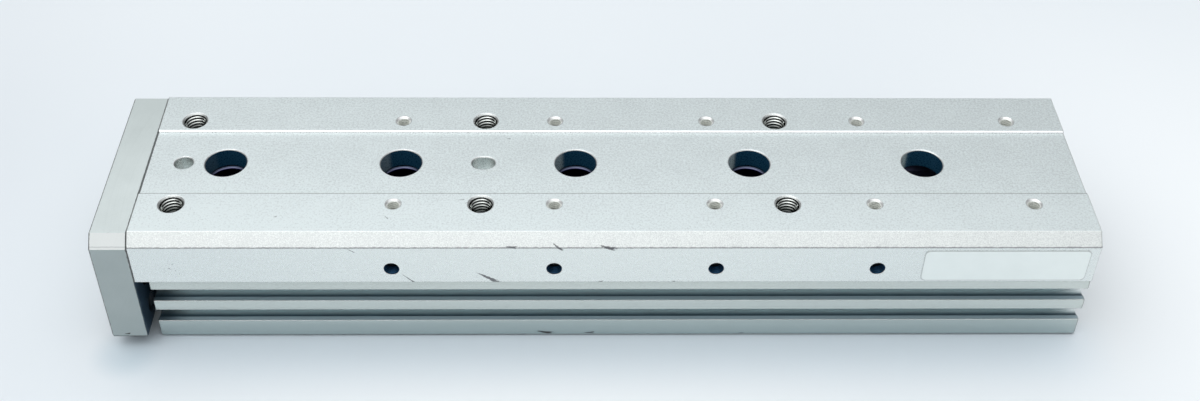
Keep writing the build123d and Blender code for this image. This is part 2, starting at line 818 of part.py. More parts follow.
# Label plate, left blank
with BuildPart() as label_plate:
    with BuildSketch(Plane.XZ.offset(table_w / 2)):
        with Locations((label_x0 + label_l / 2, label_z0 + label_h / 2)):
            RectangleRounded(label_l, label_h, label_corner_r)
    extrude(amount=label_t)

pieces = {
    "cylinder_body": cylinder_body.part,
    "guide_block": guide_block.part,
    "guide_block_screws": guide_block_screws,
    "guide_stop_screws": guide_stop_screws,
    "rod_covers": rod_covers,
    "rod_seals": rod_seals,
    "rod_cover_orings": rod_cover_orings,
    "rod_cover_retaining_rings": rod_cover_retaining_rings,
    "head_caps": head_caps,
    "head_cap_orings": head_cap_orings,
    "head_cap_retaining_rings": head_cap_retaining_rings,
    "port_plugs": port_plugs,
    "table_plate": table_plate.part,
    "thread_inserts": thread_inserts.part,
    "rail_near": rail_near,
    "rail_far": rail_far,
    "rail_screws": rail_screws,
    "rail_stop_screws": rail_stop_screws,
    "preload_screws": preload_screws.part,
    "end_plate": end_plate.part,
    "end_plate_screws": end_plate_screws,
    "floating_bushes": floating_bushes,
    "rod_end_screws": rod_end_screws,
    "piston_rods": piston_rods,
    "pistons": pistons,
    "piston_seals": piston_seals,
    "piston_magnets": piston_magnets,
    "wear_rings": wear_rings,
    "piston_dampers": piston_dampers,
    "roller_cage_near": roller_cage_near,
    "roller_cage_far": roller_cage_far,
    "rollers_near": rollers_near,
    "rollers_far": rollers_far,
    "label_plate": label_plate.part,
}
for name, piece in pieces.items():
    piece.label = name
    export_step(piece, "parts/" + name + ".step")
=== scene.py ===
# %% [markdown]
# # A pneumatic slide table
#
# The part is a flat air slide table. A channel-shaped table runs on crossed rollers over a
# cylinder body with two bores, and an end plate joins the table to both piston rods. The CAD
# model already has every piece at its true size, so this lesson gives the pieces their
# finishes, adds what CAD leaves out, which is threads and knurls, and sets up the light and
# the camera of the photograph.

import json
import math

import bmesh
import bpy
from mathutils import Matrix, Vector


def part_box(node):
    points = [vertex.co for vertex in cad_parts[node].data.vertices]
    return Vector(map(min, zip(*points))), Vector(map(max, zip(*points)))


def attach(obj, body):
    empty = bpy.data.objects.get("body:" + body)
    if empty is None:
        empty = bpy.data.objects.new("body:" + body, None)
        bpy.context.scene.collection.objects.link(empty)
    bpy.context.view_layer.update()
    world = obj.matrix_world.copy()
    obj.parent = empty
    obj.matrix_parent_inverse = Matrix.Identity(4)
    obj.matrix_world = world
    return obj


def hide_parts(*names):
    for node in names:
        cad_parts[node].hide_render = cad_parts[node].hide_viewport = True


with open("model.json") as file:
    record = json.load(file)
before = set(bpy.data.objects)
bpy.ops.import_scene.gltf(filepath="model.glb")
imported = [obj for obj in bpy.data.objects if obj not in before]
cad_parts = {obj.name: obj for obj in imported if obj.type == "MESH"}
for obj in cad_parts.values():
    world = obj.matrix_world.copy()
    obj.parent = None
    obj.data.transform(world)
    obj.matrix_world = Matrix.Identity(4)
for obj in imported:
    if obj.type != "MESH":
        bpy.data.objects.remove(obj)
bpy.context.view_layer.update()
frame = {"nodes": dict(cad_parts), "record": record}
nodes = frame["nodes"]
scene = bpy.context.scene
print("CAD nodes:", len(nodes))

# %% [markdown]
# ## Sizes that the finishes and threads line up with
#
# A finish can't ask the CAD model where a hole is, so the few places that matter are written
# down once, in millimetres, in the frame of the CAD model: X along the stroke, Y away from the
# switch grooves, Z up. The table's come first, because the other pieces are seen through its
# holes, and theirs come with them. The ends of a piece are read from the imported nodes
# instead, which keeps them true.

# %% Places in millimetres
MM = 0.001
joint_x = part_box("table_plate")[0].x / MM
table_end_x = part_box("table_plate")[1].x / MM
plate_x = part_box("end_plate")[0].x / MM
top_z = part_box("table_plate")[1].z / MM
skirt_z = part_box("table_plate")[0].z / MM
table_side_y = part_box("table_plate")[0].y / MM
body_side_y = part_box("cylinder_body")[1].y / MM
body_top_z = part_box("cylinder_body")[1].z / MM
body_start_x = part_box("cylinder_body")[0].x / MM
body_end_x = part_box("cylinder_body")[1].x / MM
print("table from", round(joint_x, 2), "to", round(table_end_x, 2), "top at", round(top_z, 2))

# %% The table's recess, bevel and holes
recess_half_w = 10.3
recess_rim = 0.3
recess_z = top_z - 0.5
bevel_w = 2.5
bevel_low_z = top_z - bevel_w
mount_pitch = 38.0
access_r = 4.5
work_y = 14.0
work_pitch = 65.0
work_xs = [joint_x + 7.6 + work_pitch * i for i in range(3)]
rail_screw_pitch = 34.0
rail_screw_xs = [joint_x + 54.15 + rail_screw_pitch * i for i in range(5)]
set_screw_z = 23.6
print("work holes at", [round(x, 1) for x in work_xs])
print("rail screws at", [round(x, 1) for x in rail_screw_xs])

# %% [markdown]
# ## Shader sums in plain Python
#
# A procedural finish is mostly arithmetic: how far a point is from a groove, how much grain
# lies there, where an edge is worn. Wiring each sum by hand hides what it says, so `Value`
# wraps a socket and lays a Math node for each operator. `Bench` is the one place that makes
# any other node: it takes the node's type, its settings and what goes into its sockets. The
# same bench lays shader nodes, world nodes and Geometry Nodes.

# %% Value: a socket that can be used in sums
class Value:
    """What comes out of one node and flows into the next, with the sums that it can be used in."""

    def __init__(self, bench, socket):
        self.bench = bench
        self.socket = socket

    def math(self, operation, *others):
        inputs = dict(enumerate((self, *others)))
        return self.bench.node("ShaderNodeMath", {"operation": operation}, inputs)

    def __add__(self, other):
        return self.math("ADD", other)

    def __sub__(self, other):
        return self.math("SUBTRACT", other)

    def __mul__(self, other):
        return self.math("MULTIPLY", other)

    def __truediv__(self, other):
        return self.math("DIVIDE", other)

    def __rsub__(self, other):
        return self.bench.node("ShaderNodeMath", {"operation": "SUBTRACT"}, {0: other, 1: self})

    def __abs__(self):
        return self.math("ABSOLUTE")

    __radd__ = __add__
    __rmul__ = __mul__


# %% Bench: lays any other node
class Bench:
    """Lays nodes in one tree, whichever kind of tree it is."""

    def __init__(self, tree):
        self.tree = tree

    def node(self, kind, settings=None, inputs=None, output=0):
        made = self.tree.nodes.new(kind)
        for name, setting in (settings or {}).items():
            setattr(made, name, setting)
        self.feed(made, inputs or {})
        return Value(self, made.outputs[output])

    def feed(self, made, inputs):
        for name, value in inputs.items():
            if isinstance(value, Value):
                self.tree.links.new(value.socket, made.inputs[name])
            else:
                made.inputs[name].default_value = value


# %% [markdown]
# ## A finish and its coordinates
#
# Every finish reads Object coordinates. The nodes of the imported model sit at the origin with
# their place in the mesh, so Object coordinates are the part's own frame, and a pattern stays
# on its piece when the table slides. `Finish` turns them into millimetres, because a grain of
# 0.3 is easier to picture than one of 0.0003.

# %% Finish: one material on the bench
class Finish(Bench):
    """One material of the slide table, its patterns measured in millimetres."""

    def __init__(self, name, **constants):
        self.material = bpy.data.materials.new(name)
        self.material.use_nodes = True
        super().__init__(self.material.node_tree)
        self.shader = self.tree.nodes["Principled BSDF"]
        self.feed(self.shader, constants)
        self.coordinates = self.tree.nodes.new("ShaderNodeTexCoord")
        place = Value(self, self.coordinates.outputs["Object"])
        self.place = self.vector("SCALE", place, {"Scale": 1 / MM})
        self.x, self.y, self.z = self.split(self.place)

    def vector(self, operation, value, inputs, output=0):
        """A Vector Math node on one vector."""
        inputs = {0: value, **inputs}
        return self.node("ShaderNodeVectorMath", {"operation": operation}, inputs, output)

    def split(self, value):
        """The three parts of a vector."""
        first = self.node("ShaderNodeSeparateXYZ", {}, {0: value})
        outputs = first.socket.node.outputs
        return [Value(self, outputs[i]) for i in range(3)]

    def join(self, x, y, z):
        """A vector made of three parts."""
        return self.node("ShaderNodeCombineXYZ", {}, {0: x, 1: y, 2: z})

    def facing(self):
        """The way a face looks, as the three parts of its normal."""
        return self.split(Value(self, self.coordinates.outputs["Normal"]))

    def shine(self, **values):
        """Ends a finish: feeds the shader's own sockets, named with _ for a space."""
        self.feed(self.shader, {name.replace("_", " "): value for name, value in values.items()})
        print("finish:", self.material.name, len(self.tree.nodes), "nodes")
        return self.material


# %% [markdown]
# ## The few patterns that all finishes share
#
# Grain, soft steps, colour mixes and rounded edges turn up in almost every finish. `grain` is
# a noise whose size is given in millimetres and may differ along each axis, so that the same
# call makes sandblasted spots and drawn lines. `step` is a soft edge between two levels.
# Sharp corners never catch light in a render as real ones do, so `edge` lays a Bevel node,
# which rounds the shading at a corner without touching the CAD mesh, and its tilt against the
# true face marks the edges: handling has polished and chipped them, and most finishes also
# paint them lighter as a painted highlight. Holes come in rows, so `beside_row` folds the
# stroke's length onto one hole, `from_both` turns two offsets into a distance, and
# `from_point` measures from one place.

# %% Grain, steps, mixes, rounded edges and rows
def grain(finish, size, detail=2.0, where=None):
    """Noise from 0 to 1 whose spots have about this size in millimetres, or one per axis."""
    where = where or finish.place
    if isinstance(size, tuple):
        stretch = tuple(1 / s for s in size)
        where = finish.vector("MULTIPLY", where, {1: stretch})
        size = 1.0
    return finish.node(
        "ShaderNodeTexNoise", {}, {"Vector": where, "Scale": 1 / size, "Detail": detail}
    )


def step(finish, value, low, high):
    """0 below low, 1 above high, and a smooth rise between. Swap them for a fall."""
    return finish.node(
        "ShaderNodeMapRange",
        {"interpolation_type": "SMOOTHSTEP"},
        {"Value": value, "From Min": low, "From Max": high},
    )


def mix(finish, factor, colour_a, colour_b):
    """Colour a where the factor is 0 and colour b where it is 1."""
    return finish.node(
        "ShaderNodeMix",
        {"data_type": "RGBA"},
        {0: factor, 6: colour_a, 7: colour_b},
        output=2,
    )


def bump(finish, height, depth, under=None):
    """Relief of this depth in millimetres where the height goes from 0 to 1."""
    inputs = {"Height": height, "Distance": depth * MM}
    if under:
        inputs["Normal"] = under
    return finish.node("ShaderNodeBump", {}, inputs)


def edge(finish, radius):
    """The rounded normal at corners, and a mask that is 1 on them."""
    rounded = finish.node("ShaderNodeBevel", {"samples": 4}, {"Radius": radius * MM})
    flat = finish.node("ShaderNodeNewGeometry", output=3)
    agree = finish.vector("DOT_PRODUCT", rounded, {1: flat}, output=1)
    return rounded, step(finish, agree, 0.995, 0.85)


def grey(level, red=0.0, blue=0.0):
    """A near-grey colour with a little more red or blue."""
    return (level + red, level, level + blue, 1.0)


def from_both(over, up):
    """Distance made of two offsets at a right angle."""
    return (over * over + up * up).math("SQRT")


def from_point(finish, point):
    """Distance from one place on the part."""
    return finish.vector("DISTANCE", finish.place, {1: point}, output=1)


def beside_row(finish, first_x, pitch):
    """Offset along X from the nearest hole of a row."""
    return (((finish.x - first_x) / pitch + 0.5).math("FRACT") - 0.5) * pitch


# %% [markdown]
# ## Sandblasted table plate
#
# The table is a milled aluminium channel that is blasted with fine beads and then clear
# anodised. Up close its top shows pits of a fifth of a millimetre, and from further away a
# faint cloudiness, and the top is painted lighter toward the front and the left as painted
# light. The side that carries the set screws is ground smooth, so it mirrors the bench in front
# of it. One material covers both: the way a face looks, up or sideways, comes from its normal in
# Object space. The walls of the big access holes are painted dark as shade, with a painted
# glint that grows toward the open end, and the other holes are painted in shade too. A few
# rubbed marks lie on the side, the top and the front bevel where the photograph shows them.
# Each step of the finish has a cell of its own.

# %% Rubbed marks and hole walls
def mark(finish, u, v, centre, half_size, angle=0.0):
    """1 inside a ragged streak in the plane of two coordinates, given in millimetres."""
    turn = math.radians(angle)
    along = (u - centre[0]) * math.cos(turn) + (v - centre[1]) * math.sin(turn)
    across = (v - centre[1]) * math.cos(turn) - (u - centre[0]) * math.sin(turn)
    ragged = grain(finish, (0.9, 0.9, 0.2), detail=4.0) - 0.5
    thinner = along / (half_size[0] * 2.5) + 0.6
    reach = abs(along / half_size[0]).math("MAXIMUM", abs(across / thinner / half_size[1]))
    return step(finish, reach + ragged * 1.8, 1.0, 0.7)


def marks(finish, u, v, list_of_marks):
    """1 inside any of several streaks."""
    found = mark(finish, u, v, *list_of_marks[0])
    for other in list_of_marks[1:]:
        found = found.math("MAXIMUM", mark(finish, u, v, *other))
    return found


def hole_row(finish, radius, below):
    """1 on the walls of the row of mounting holes, inside this radius and below this level."""
    from_axis = from_both(beside_row(finish, 0.0, mount_pitch), finish.y)
    row_end = mount_pitch * 2.5
    inside = step(finish, from_axis, radius + 0.04, radius)
    inside = inside * step(finish, abs(finish.x), row_end, row_end - 1.0)
    return inside * step(finish, finish.z, below, below - 0.1)


def from_work_hole(finish):
    """Distance from the axis of the nearest work-mounting hole."""
    return from_both(beside_row(finish, work_xs[0], work_pitch), abs(finish.y) - work_y)


# %% Where the table is rubbed: middle, half size and angle of each streak
side_marks = [
    ((-34.9, 20.5), (2.0, 0.24), -44.0),
    ((-18.3, 20.9), (2.9, 0.62), -33.0),
    ((-46.7, 28.9), (1.2, 0.12), -33.0),
    ((5.2, 19.9), (0.5, 0.18), 0.0),
    ((20.6, 19.9), (0.4, 0.15), 0.0),
]
bevel_marks = [
    ((-13.4, 29.65), (1.2, 0.25), -5.0),
    ((-3.7, 29.6), (1.4, 0.35), -30.0),
    ((6.7, 29.5), (1.7, 0.5), -12.0),
]
top_marks = [
    ((-24.6, -12.7), (1.0, 0.12), 4.0),
    ((-23.0, -13.6), (0.5, 0.15), 40.0),
    ((-39.6, -18.2), (0.7, 0.16), -50.0),
    ((-14.9, 8.3), (0.5, 0.2), 0.0),
    ((-62.7, -18.0), (0.4, 0.2), 20.0),
]
speck_centre = (-84.3, table_side_y, 23.4)


def table_wear(finish, level, sideways):
    """1 on the streaks and in the patch of specks near the end plate."""
    near = step(finish, finish.y, table_side_y + 4.0, table_side_y + 3.0)
    bevel_back_y = table_side_y + bevel_w
    on_bevel = step(finish, finish.y, bevel_back_y - 0.1, bevel_back_y - 0.3)
    specks = step(finish, grain(finish, 0.35, detail=1.0), 0.69, 0.72)
    specks = specks * step(finish, from_point(finish, speck_centre), 2.8, 1.0) * sideways
    rubbed = marks(finish, finish.x, finish.z, side_marks) * sideways * near
    rubbed = rubbed + marks(finish, finish.x, finish.z, bevel_marks) * on_bevel + specks
    rubbed = rubbed + marks(finish, finish.x, finish.y, top_marks) * level * 0.6
    return rubbed.math("MINIMUM", 1.0)


# %% What the table's holes look like inside
# Painted shade for the walls of the big access holes.
hole_shade_navy = (0.018, 0.095, 0.18, 1)


def set_screw_holes(finish):
    """1 inside the row of set screw holes in the near side."""
    beside = beside_row(finish, rail_screw_xs[0], rail_screw_pitch)
    from_screw = from_both(beside, finish.z - set_screw_z)
    within = step(finish, finish.y, table_side_y + 0.05, table_side_y + 0.15)
    within = within * step(finish, finish.y, table_side_y + 7.0, table_side_y + 6.8)
    return within * step(finish, from_screw, 1.7, 1.66)


def rail_screw_holes(finish):
    """Masks of the small tapped holes in the top: countersinks, rim lines, insides, depths."""
    beside = beside_row(finish, rail_screw_xs[0], rail_screw_pitch)
    from_screw = from_both(beside, abs(finish.y) - work_y)
    along = step(finish, finish.x, joint_x + 50.0, joint_x + 51.0)
    cone = step(finish, abs(from_screw - 1.5), 0.26, 0.2) * along
    cone = cone * step(finish, finish.z, top_z - 0.02, top_z - 0.06)
    # Painted shade: a dark line round the countersink's rim.
    rim = step(finish, abs(from_screw - 1.76), 0.12, 0.04) * along
    rim = rim * step(finish, finish.z, top_z - 0.3, top_z - 0.2)
    inside = step(finish, from_screw, 1.34, 1.3) * along
    # Painted shade at the thread roots and deeper in the hole.
    roots = step(finish, from_screw, 1.17, 1.21)
    roots = roots * step(finish, finish.z, top_z - 0.45, top_z - 0.5)
    deep = step(finish, finish.z, top_z - 1.4, top_z - 2.8) * 0.5
    return cone, rim, inside, inside * (roots * 0.35).math("MAXIMUM", deep)


def table_holes(finish, colour):
    """Colours every hole of the table, and tells how much less metallic its walls look."""
    # Painted shade inside the pin holes.
    pin_holes = step(finish, abs(finish.y), 2.3, 2.2)
    pin_holes = pin_holes * step(finish, finish.z, recess_z - 0.2, recess_z - 0.3)
    colour = mix(finish, pin_holes * 0.1, colour, grey(0.35, -0.03, -0.01))
    # Painted shade on the access holes' walls, with a painted glint toward the open end.
    access = hole_row(finish, access_r + 0.1, recess_z - 0.2)
    colour = mix(finish, access, colour, hole_shade_navy)
    glint = step(finish, beside_row(finish, 0.0, mount_pitch), -2.3, -3.5)
    glint = glint * step(finish, finish.x, -110.0, 90.0) * access
    colour = mix(finish, glint, colour, (0.85, 1.0, 1.0, 1))
    # Painted shade in the set screw holes.
    colour = mix(finish, set_screw_holes(finish), colour, (0.03, 0.10, 0.20, 1))
    cones, rims, tapped_walls, tapped_depths = rail_screw_holes(finish)
    colour = mix(finish, cones, colour, grey(0.95, 0.0, -0.01))
    # Painted shade at the countersinks' rims.
    colour = mix(finish, rims * 0.35, colour, grey(0.16, 0.0, -0.02))
    colour = mix(finish, tapped_walls * 0.8, colour, grey(1.0, -0.02, -0.06))
    # Painted shade at the thread roots and deep in the holes.
    colour = mix(finish, tapped_depths, colour, (0.14, 0.145, 0.11, 1))
    return colour, access * 0.45 + tapped_walls * 0.7


# %% The table's thin lines
def table_lines(finish):
    """1 on the thin dark lines: under the front bevel, at the joint and at the near step."""
    ragged = grain(finish, (0.8, 0.5, 0.3), detail=3.0) - 0.5
    # Painted dark reflection line under the front bevel.
    under_bevel = abs(finish.z - bevel_low_z - 0.05 + ragged * 0.3)
    under_bevel = step(finish, under_bevel, 0.16, 0.06)
    under_bevel = under_bevel * step(finish, finish.y, table_side_y + 0.5, table_side_y + 0.4)
    joint = step(finish, finish.x, joint_x + 0.22, joint_x + 0.12)
    # Painted shade at the near step, whose wall looks away.
    near_step = step(finish, abs(finish.y + recess_half_w + recess_rim), 0.16, 0.08)
    near_step = near_step * step(finish, finish.z, top_z - 0.3, top_z - 0.2)
    far_end = step(finish, finish.x, table_end_x - 0.2, table_end_x - 0.1)
    far_end = far_end * step(finish, finish.z, top_z - 0.1, top_z - 0.2) * 0.4
    return under_bevel * 0.7 + joint * 0.7 + near_step * 0.9 + far_end


def far_rim(finish):
    """1 on the recess's far edge, which is broken and catches the light."""
    from_rim = abs(finish.y - recess_half_w - recess_rim / 2)
    on_rim = step(finish, from_rim, recess_rim / 2 + 0.05, recess_rim / 2)
    return on_rim * step(finish, finish.z, recess_z + 0.1, recess_z + 0.2)


# %% The table's finish
def blasted_table():
    finish = Finish("blasted_anodised_table")
    facing = finish.facing()
    upward = step(finish, facing[2], 0.2, 0.6)
    level = step(finish, facing[2], 0.85, 0.95)
    sideways = step(finish, abs(facing[1]), 0.8, 0.95)

    pits = grain(finish, 0.26, detail=3.0)
    cloud = grain(finish, 6.0, detail=4.0)
    fine = grain(finish, 0.5, detail=1.0)
    tone = 0.5 + (pits - 0.5) * 2.4 + (fine - 0.5) * 2.0 + (cloud - 0.5) * 0.5
    # Painted light: the top is lighter toward the front and the left.
    tone = tone + step(finish, finish.y, 2.0, -20.0) * 0.28
    tone = tone + step(finish, finish.x, 0.0, -90.0) * 0.2
    top = mix(finish, tone, grey(0.78, -0.055), grey(1.0, -0.07))
    bevel_tone = 0.4 + (grain(finish, 0.2, detail=2.0) - 0.5) * 3.0 + (cloud - 0.5) * 0.4
    bevel_tone = bevel_tone + finish.x / 400.0
    bevel = mix(finish, bevel_tone, grey(0.65, -0.02, -0.01), grey(0.865, -0.025, -0.02))
    streaks = grain(finish, (4.0, 0.4, 0.12))
    ground = mix(finish, streaks, grey(0.78, -0.04, -0.01), grey(0.85, -0.04, -0.01))
    colour = mix(finish, sideways, mix(finish, level, bevel, top), ground)

    rounded, edge_wear_and_highlight = edge(finish, 0.2)
    # Edges: wear and a painted highlight.
    colour = mix(finish, edge_wear_and_highlight, colour, grey(0.98))
    # Painted highlight on the recess's far rim.
    colour = mix(finish, far_rim(finish), colour, grey(1.0))
    # Thin dark lines: the joint, and painted shade under the bevel and at the near step.
    colour = mix(finish, table_lines(finish), colour, grey(0.16, 0.0, 0.01))
    rubbed = table_wear(finish, level, sideways)
    colour = mix(finish, rubbed * 0.85, colour, grey(0.08, 0.0, 0.01))
    colour, less_metal = table_holes(finish, colour)
    return finish.shine(
        Base_Color=colour,
        Metallic=0.85 - less_metal,
        Roughness=0.28 + upward * 0.08 + (pits - 0.5) * 0.12,
        Normal=bump(finish, pits * upward, 0.03, rounded),
    )


table_finish = blasted_table()

# %% [markdown]
# ## End plate
#
# The end plate is machined all over and anodised a shade greener and duller than the table.
# Its faces show the faint arcs of a face mill. The arcs are rings about a point below the
# plate, so the distance from that point, run through a fine noise, draws them. Thin dark lines
# mark its edges. Light and shade are painted into its colour: the bevel lighter, the sides
# darker, the top darker toward the back, the work threads dark, and the face that looks at the
# body in painted shade.

# %% The end plate's lines and shade
def plate_lines(finish, ragged):
    """1 on the thin lines round the end plate's front: both sides, foot and bevel."""
    outer = step(finish, finish.x + ragged * 0.3, plate_x + 0.36, plate_x + 0.26)
    inner = step(finish, finish.x + ragged * 0.2, joint_x - 0.26, joint_x - 0.16)
    foot = step(finish, finish.z + ragged * 0.2, 3.62, 3.5)
    under_bevel = step(finish, abs(finish.z - bevel_low_z + ragged * 0.15), 0.12, 0.05)
    return (outer + inner + foot + under_bevel * 0.3).math("MINIMUM", 1.0)


plate_work_y = 18.5
plate_work_zs = (7.5, 15.5)


def from_plate_thread(finish):
    """Distance from the axis of the nearest work thread in the end plate."""
    middle_z = sum(plate_work_zs) / 2
    half_pitch = (plate_work_zs[1] - plate_work_zs[0]) / 2
    return from_both(abs(finish.y) - plate_work_y, abs(finish.z - middle_z) - half_pitch)


# %% The end plate's finish
def milled_plate():
    finish = Finish("milled_anodised_plate", Metallic=0.12)
    facing = finish.facing()
    level = step(finish, facing[2], 0.85, 0.95)
    sideways = step(finish, abs(facing[1]), 0.8, 0.95)
    from_cutter = from_point(finish, (0.0, -8.0, -30.0))
    arcs = grain(finish, 0.35, detail=2.0, where=finish.join(from_cutter, 0.0, 0.0))
    cloud = grain(finish, 5.0, detail=4.0)
    grit = grain(finish, 0.25, detail=2.0)
    tone = 0.5 + (arcs - 0.5) * 0.5 + (cloud - 0.5) * 0.7 + (grit - 0.5) * 0.4
    # Painted light by facing: the bevel lighter, the sides darker, the top darker toward the back.
    bevel = mix(finish, tone, grey(0.74, -0.02, -0.015), grey(0.82, -0.02, -0.015))
    toward_back = step(finish, finish.y, -10.0, 26.0) * 0.8 - 0.2
    top = mix(finish, tone - toward_back, grey(0.60, -0.05, -0.01), grey(0.75, -0.055, -0.01))
    side = mix(finish, tone, grey(0.43, -0.06, 0.0), grey(0.51, -0.06, 0.0))
    endways = step(finish, abs(facing[0]), 0.8, 0.95)
    colour = mix(finish, (level + endways).math("MINIMUM", 1.0), bevel, top)
    colour = mix(finish, sideways, colour, side)

    rounded, edge_wear_and_highlight = edge(finish, 0.12)
    ragged = grain(finish, 0.7, detail=3.0) - 0.5
    lines = plate_lines(finish, ragged) * (1.0 - endways)
    colour = mix(finish, lines * 0.85, colour, grey(0.09, -0.01, 0.0))
    nick = mark(finish, finish.x, finish.z, (-97.2, 4.1), (0.8, 0.28), 4.0)
    corner_chips = step(finish, ragged, 0.1, 0.16) * edge_wear_and_highlight
    colour = mix(finish, nick.math("MAXIMUM", corner_chips), colour, grey(0.03))
    # Painted shade on the face that looks at the body.
    hidden = step(finish, finish.x, joint_x - 0.25, joint_x - 0.1)
    hidden = hidden * step(finish, finish.z, skirt_z + 0.2, skirt_z)
    colour = mix(finish, hidden, colour, (0.02, 0.045, 0.075, 1))
    # Painted shade in the work threads.
    threads = step(finish, from_plate_thread(finish), 2.25, 2.2)
    colour = mix(finish, threads, colour, (0.04, 0.055, 0.07, 1))
    relief = bump(finish, arcs + grit * 0.5, 0.006, rounded)
    return finish.shine(Base_Color=colour, Roughness=0.42 + (grit - 0.5) * 0.15, Normal=relief)


plate_finish = milled_plate()

# %% [markdown]
# ## Extruded cylinder body
#
# The body is cut from an aluminium extrusion, so every line on it runs along X: die lines
# that are streaks metres long and a few hundredths wide. Clear anodising leaves it a little
# darker than the table. The two switch grooves get light only from the front, so their inside
# is painted: almost black behind their lips and pale at the back wall, a painted reflection of
# the sheet. Toward the end plate the painted shade deepens, and at the open end painted light
# falls in. The foot is painted darker toward the sheet, the top of the side carries the table's
# painted shadow, and the shut end and the screw holes of the top are painted in shade.

# %% The body's switch grooves
groove_zs = (6.75, 12.85)
groove_shade = (0.012, 0.042, 0.065, 1)


def switch_grooves(finish, depth):
    """A mask of both grooves, and the painted shade and reflection inside them by their depth."""
    inside = 0.0
    for groove_z in groove_zs:
        inside = step(finish, abs(finish.z - groove_z), 2.3, 2.2) + inside
    inside = step(finish, depth, 0.1, 0.3) * step(finish, depth, 5.2, 5.0) * inside
    # Painted inside: shade behind the lips, the sheet's reflection on the back wall, shade toward
    # the end plate, light at the open end.
    back_wall = step(finish, depth, 1.5, 4.2)
    pocket = mix(finish, back_wall, groove_shade, (0.82, 0.98, 1.0, 1))
    pocket = mix(finish, step(finish, depth, 1.29, 1.17), pocket, (0.31, 0.39, 0.43, 1))
    unlit_end = step(finish, finish.x, joint_x + 9.0, joint_x + 3.0)
    pocket = mix(finish, unlit_end * 0.75, pocket, groove_shade)
    lit_end = step(finish, finish.x, body_end_x - 7.0, body_end_x - 0.5)
    pocket = mix(finish, lit_end * step(finish, depth, 2.0, 3.6), pocket, (0.95, 1.0, 1.0, 1))
    return inside, pocket


# %% The body's finish
body_marks = [
    ((-7.0, 1.3), (1.9, 0.5), -12.0),
    ((3.0, 1.1), (1.0, 0.35), 0.0),
    ((36.7, 0.9), (0.5, 0.2), 0.0),
    ((-11.4, 0.6), (0.6, 0.2), 0.0),
]


def extruded_body():
    finish = Finish("extruded_anodised_body")
    lines = grain(finish, (60.0, 0.12, 0.12), detail=2.0)
    bands = grain(finish, (200.0, 1.6, 1.6), detail=2.0)
    grit = grain(finish, 0.3, detail=2.0)
    tone = 0.5 + (lines - 0.5) * 1.0 + (bands - 0.5) * 0.8 + (grit - 0.5) * 0.4
    colour = mix(finish, tone, grey(0.625, -0.045, -0.025), grey(0.77, -0.045, -0.03))
    # Painted shade: darker toward the bottom, and a dark line where the body meets the sheet.
    painted_foot_shade = step(finish, finish.z, 9.0, 0.0)
    colour = mix(finish, painted_foot_shade * 0.7, colour, grey(0.44, -0.085, 0.01))
    foot_line = step(finish, finish.z, 0.45, 0.3)
    colour = mix(finish, foot_line * 0.5, colour, grey(0.12, -0.01, 0.0))
    # Edges: wear and a painted highlight.
    rounded, edge_wear_and_highlight = edge(finish, 0.22)
    colour = mix(finish, edge_wear_and_highlight, colour, grey(0.97))

    depth = finish.y + body_side_y
    # Painted shadow of the table's skirt along the top of the side.
    under_table = step(finish, finish.z, 15.8, 18.4) * step(finish, depth, 0.4, 0.2)
    colour = mix(finish, under_table * 0.5, colour, grey(0.3, -0.02, 0.0))
    cut_end = step(finish, finish.x, body_end_x - 0.32, body_end_x - 0.2)
    cut_end = cut_end * step(finish, finish.x, body_end_x - 0.02, body_end_x - 0.06)
    colour = mix(finish, cut_end * 0.7, colour, grey(0.12))
    inside, pocket = switch_grooves(finish, depth)
    colour = mix(finish, inside, colour, pocket)
    nicks = marks(finish, finish.x, finish.z, body_marks) * step(finish, finish.y, -20.0, -21.0)
    colour = mix(finish, nicks, colour, grey(0.06))
    # Painted shade on the end that faces the end plate.
    shut_end = step(finish, finish.x, body_start_x + 0.25, body_start_x + 0.1)
    colour = mix(finish, shut_end, colour, (0.13, 0.16, 0.19, 1))
    # Painted shade in the screw holes of the top.
    screw_ways = hole_row(finish, access_r + 0.05, body_top_z - 0.4)
    colour = mix(finish, screw_ways, colour, (0.03, 0.06, 0.09, 1))
    return finish.shine(
        Base_Color=colour,
        Metallic=0.8 - inside * 0.7,
        Roughness=0.24 + (lines - 0.5) * 0.12 + inside * 0.2,
        Normal=bump(finish, lines, 0.012, rounded),
    )


body_finish = extruded_body()

# %% [markdown]
# ## Ground steel of the rails and the guide block
#
# Hardened rails are finished on a surface grinder, which leaves fine straight scratches along
# the stroke. Steel is darker and a little warmer than aluminium and carries a film of oil,
# so a low roughness under broken scratches gives streaked mirror bands. What can be seen of it
# through the table's holes is painted in deep shade, and so are the rails' faces by the rollers.

# %% Ground steel
guide_top_z = 26.5


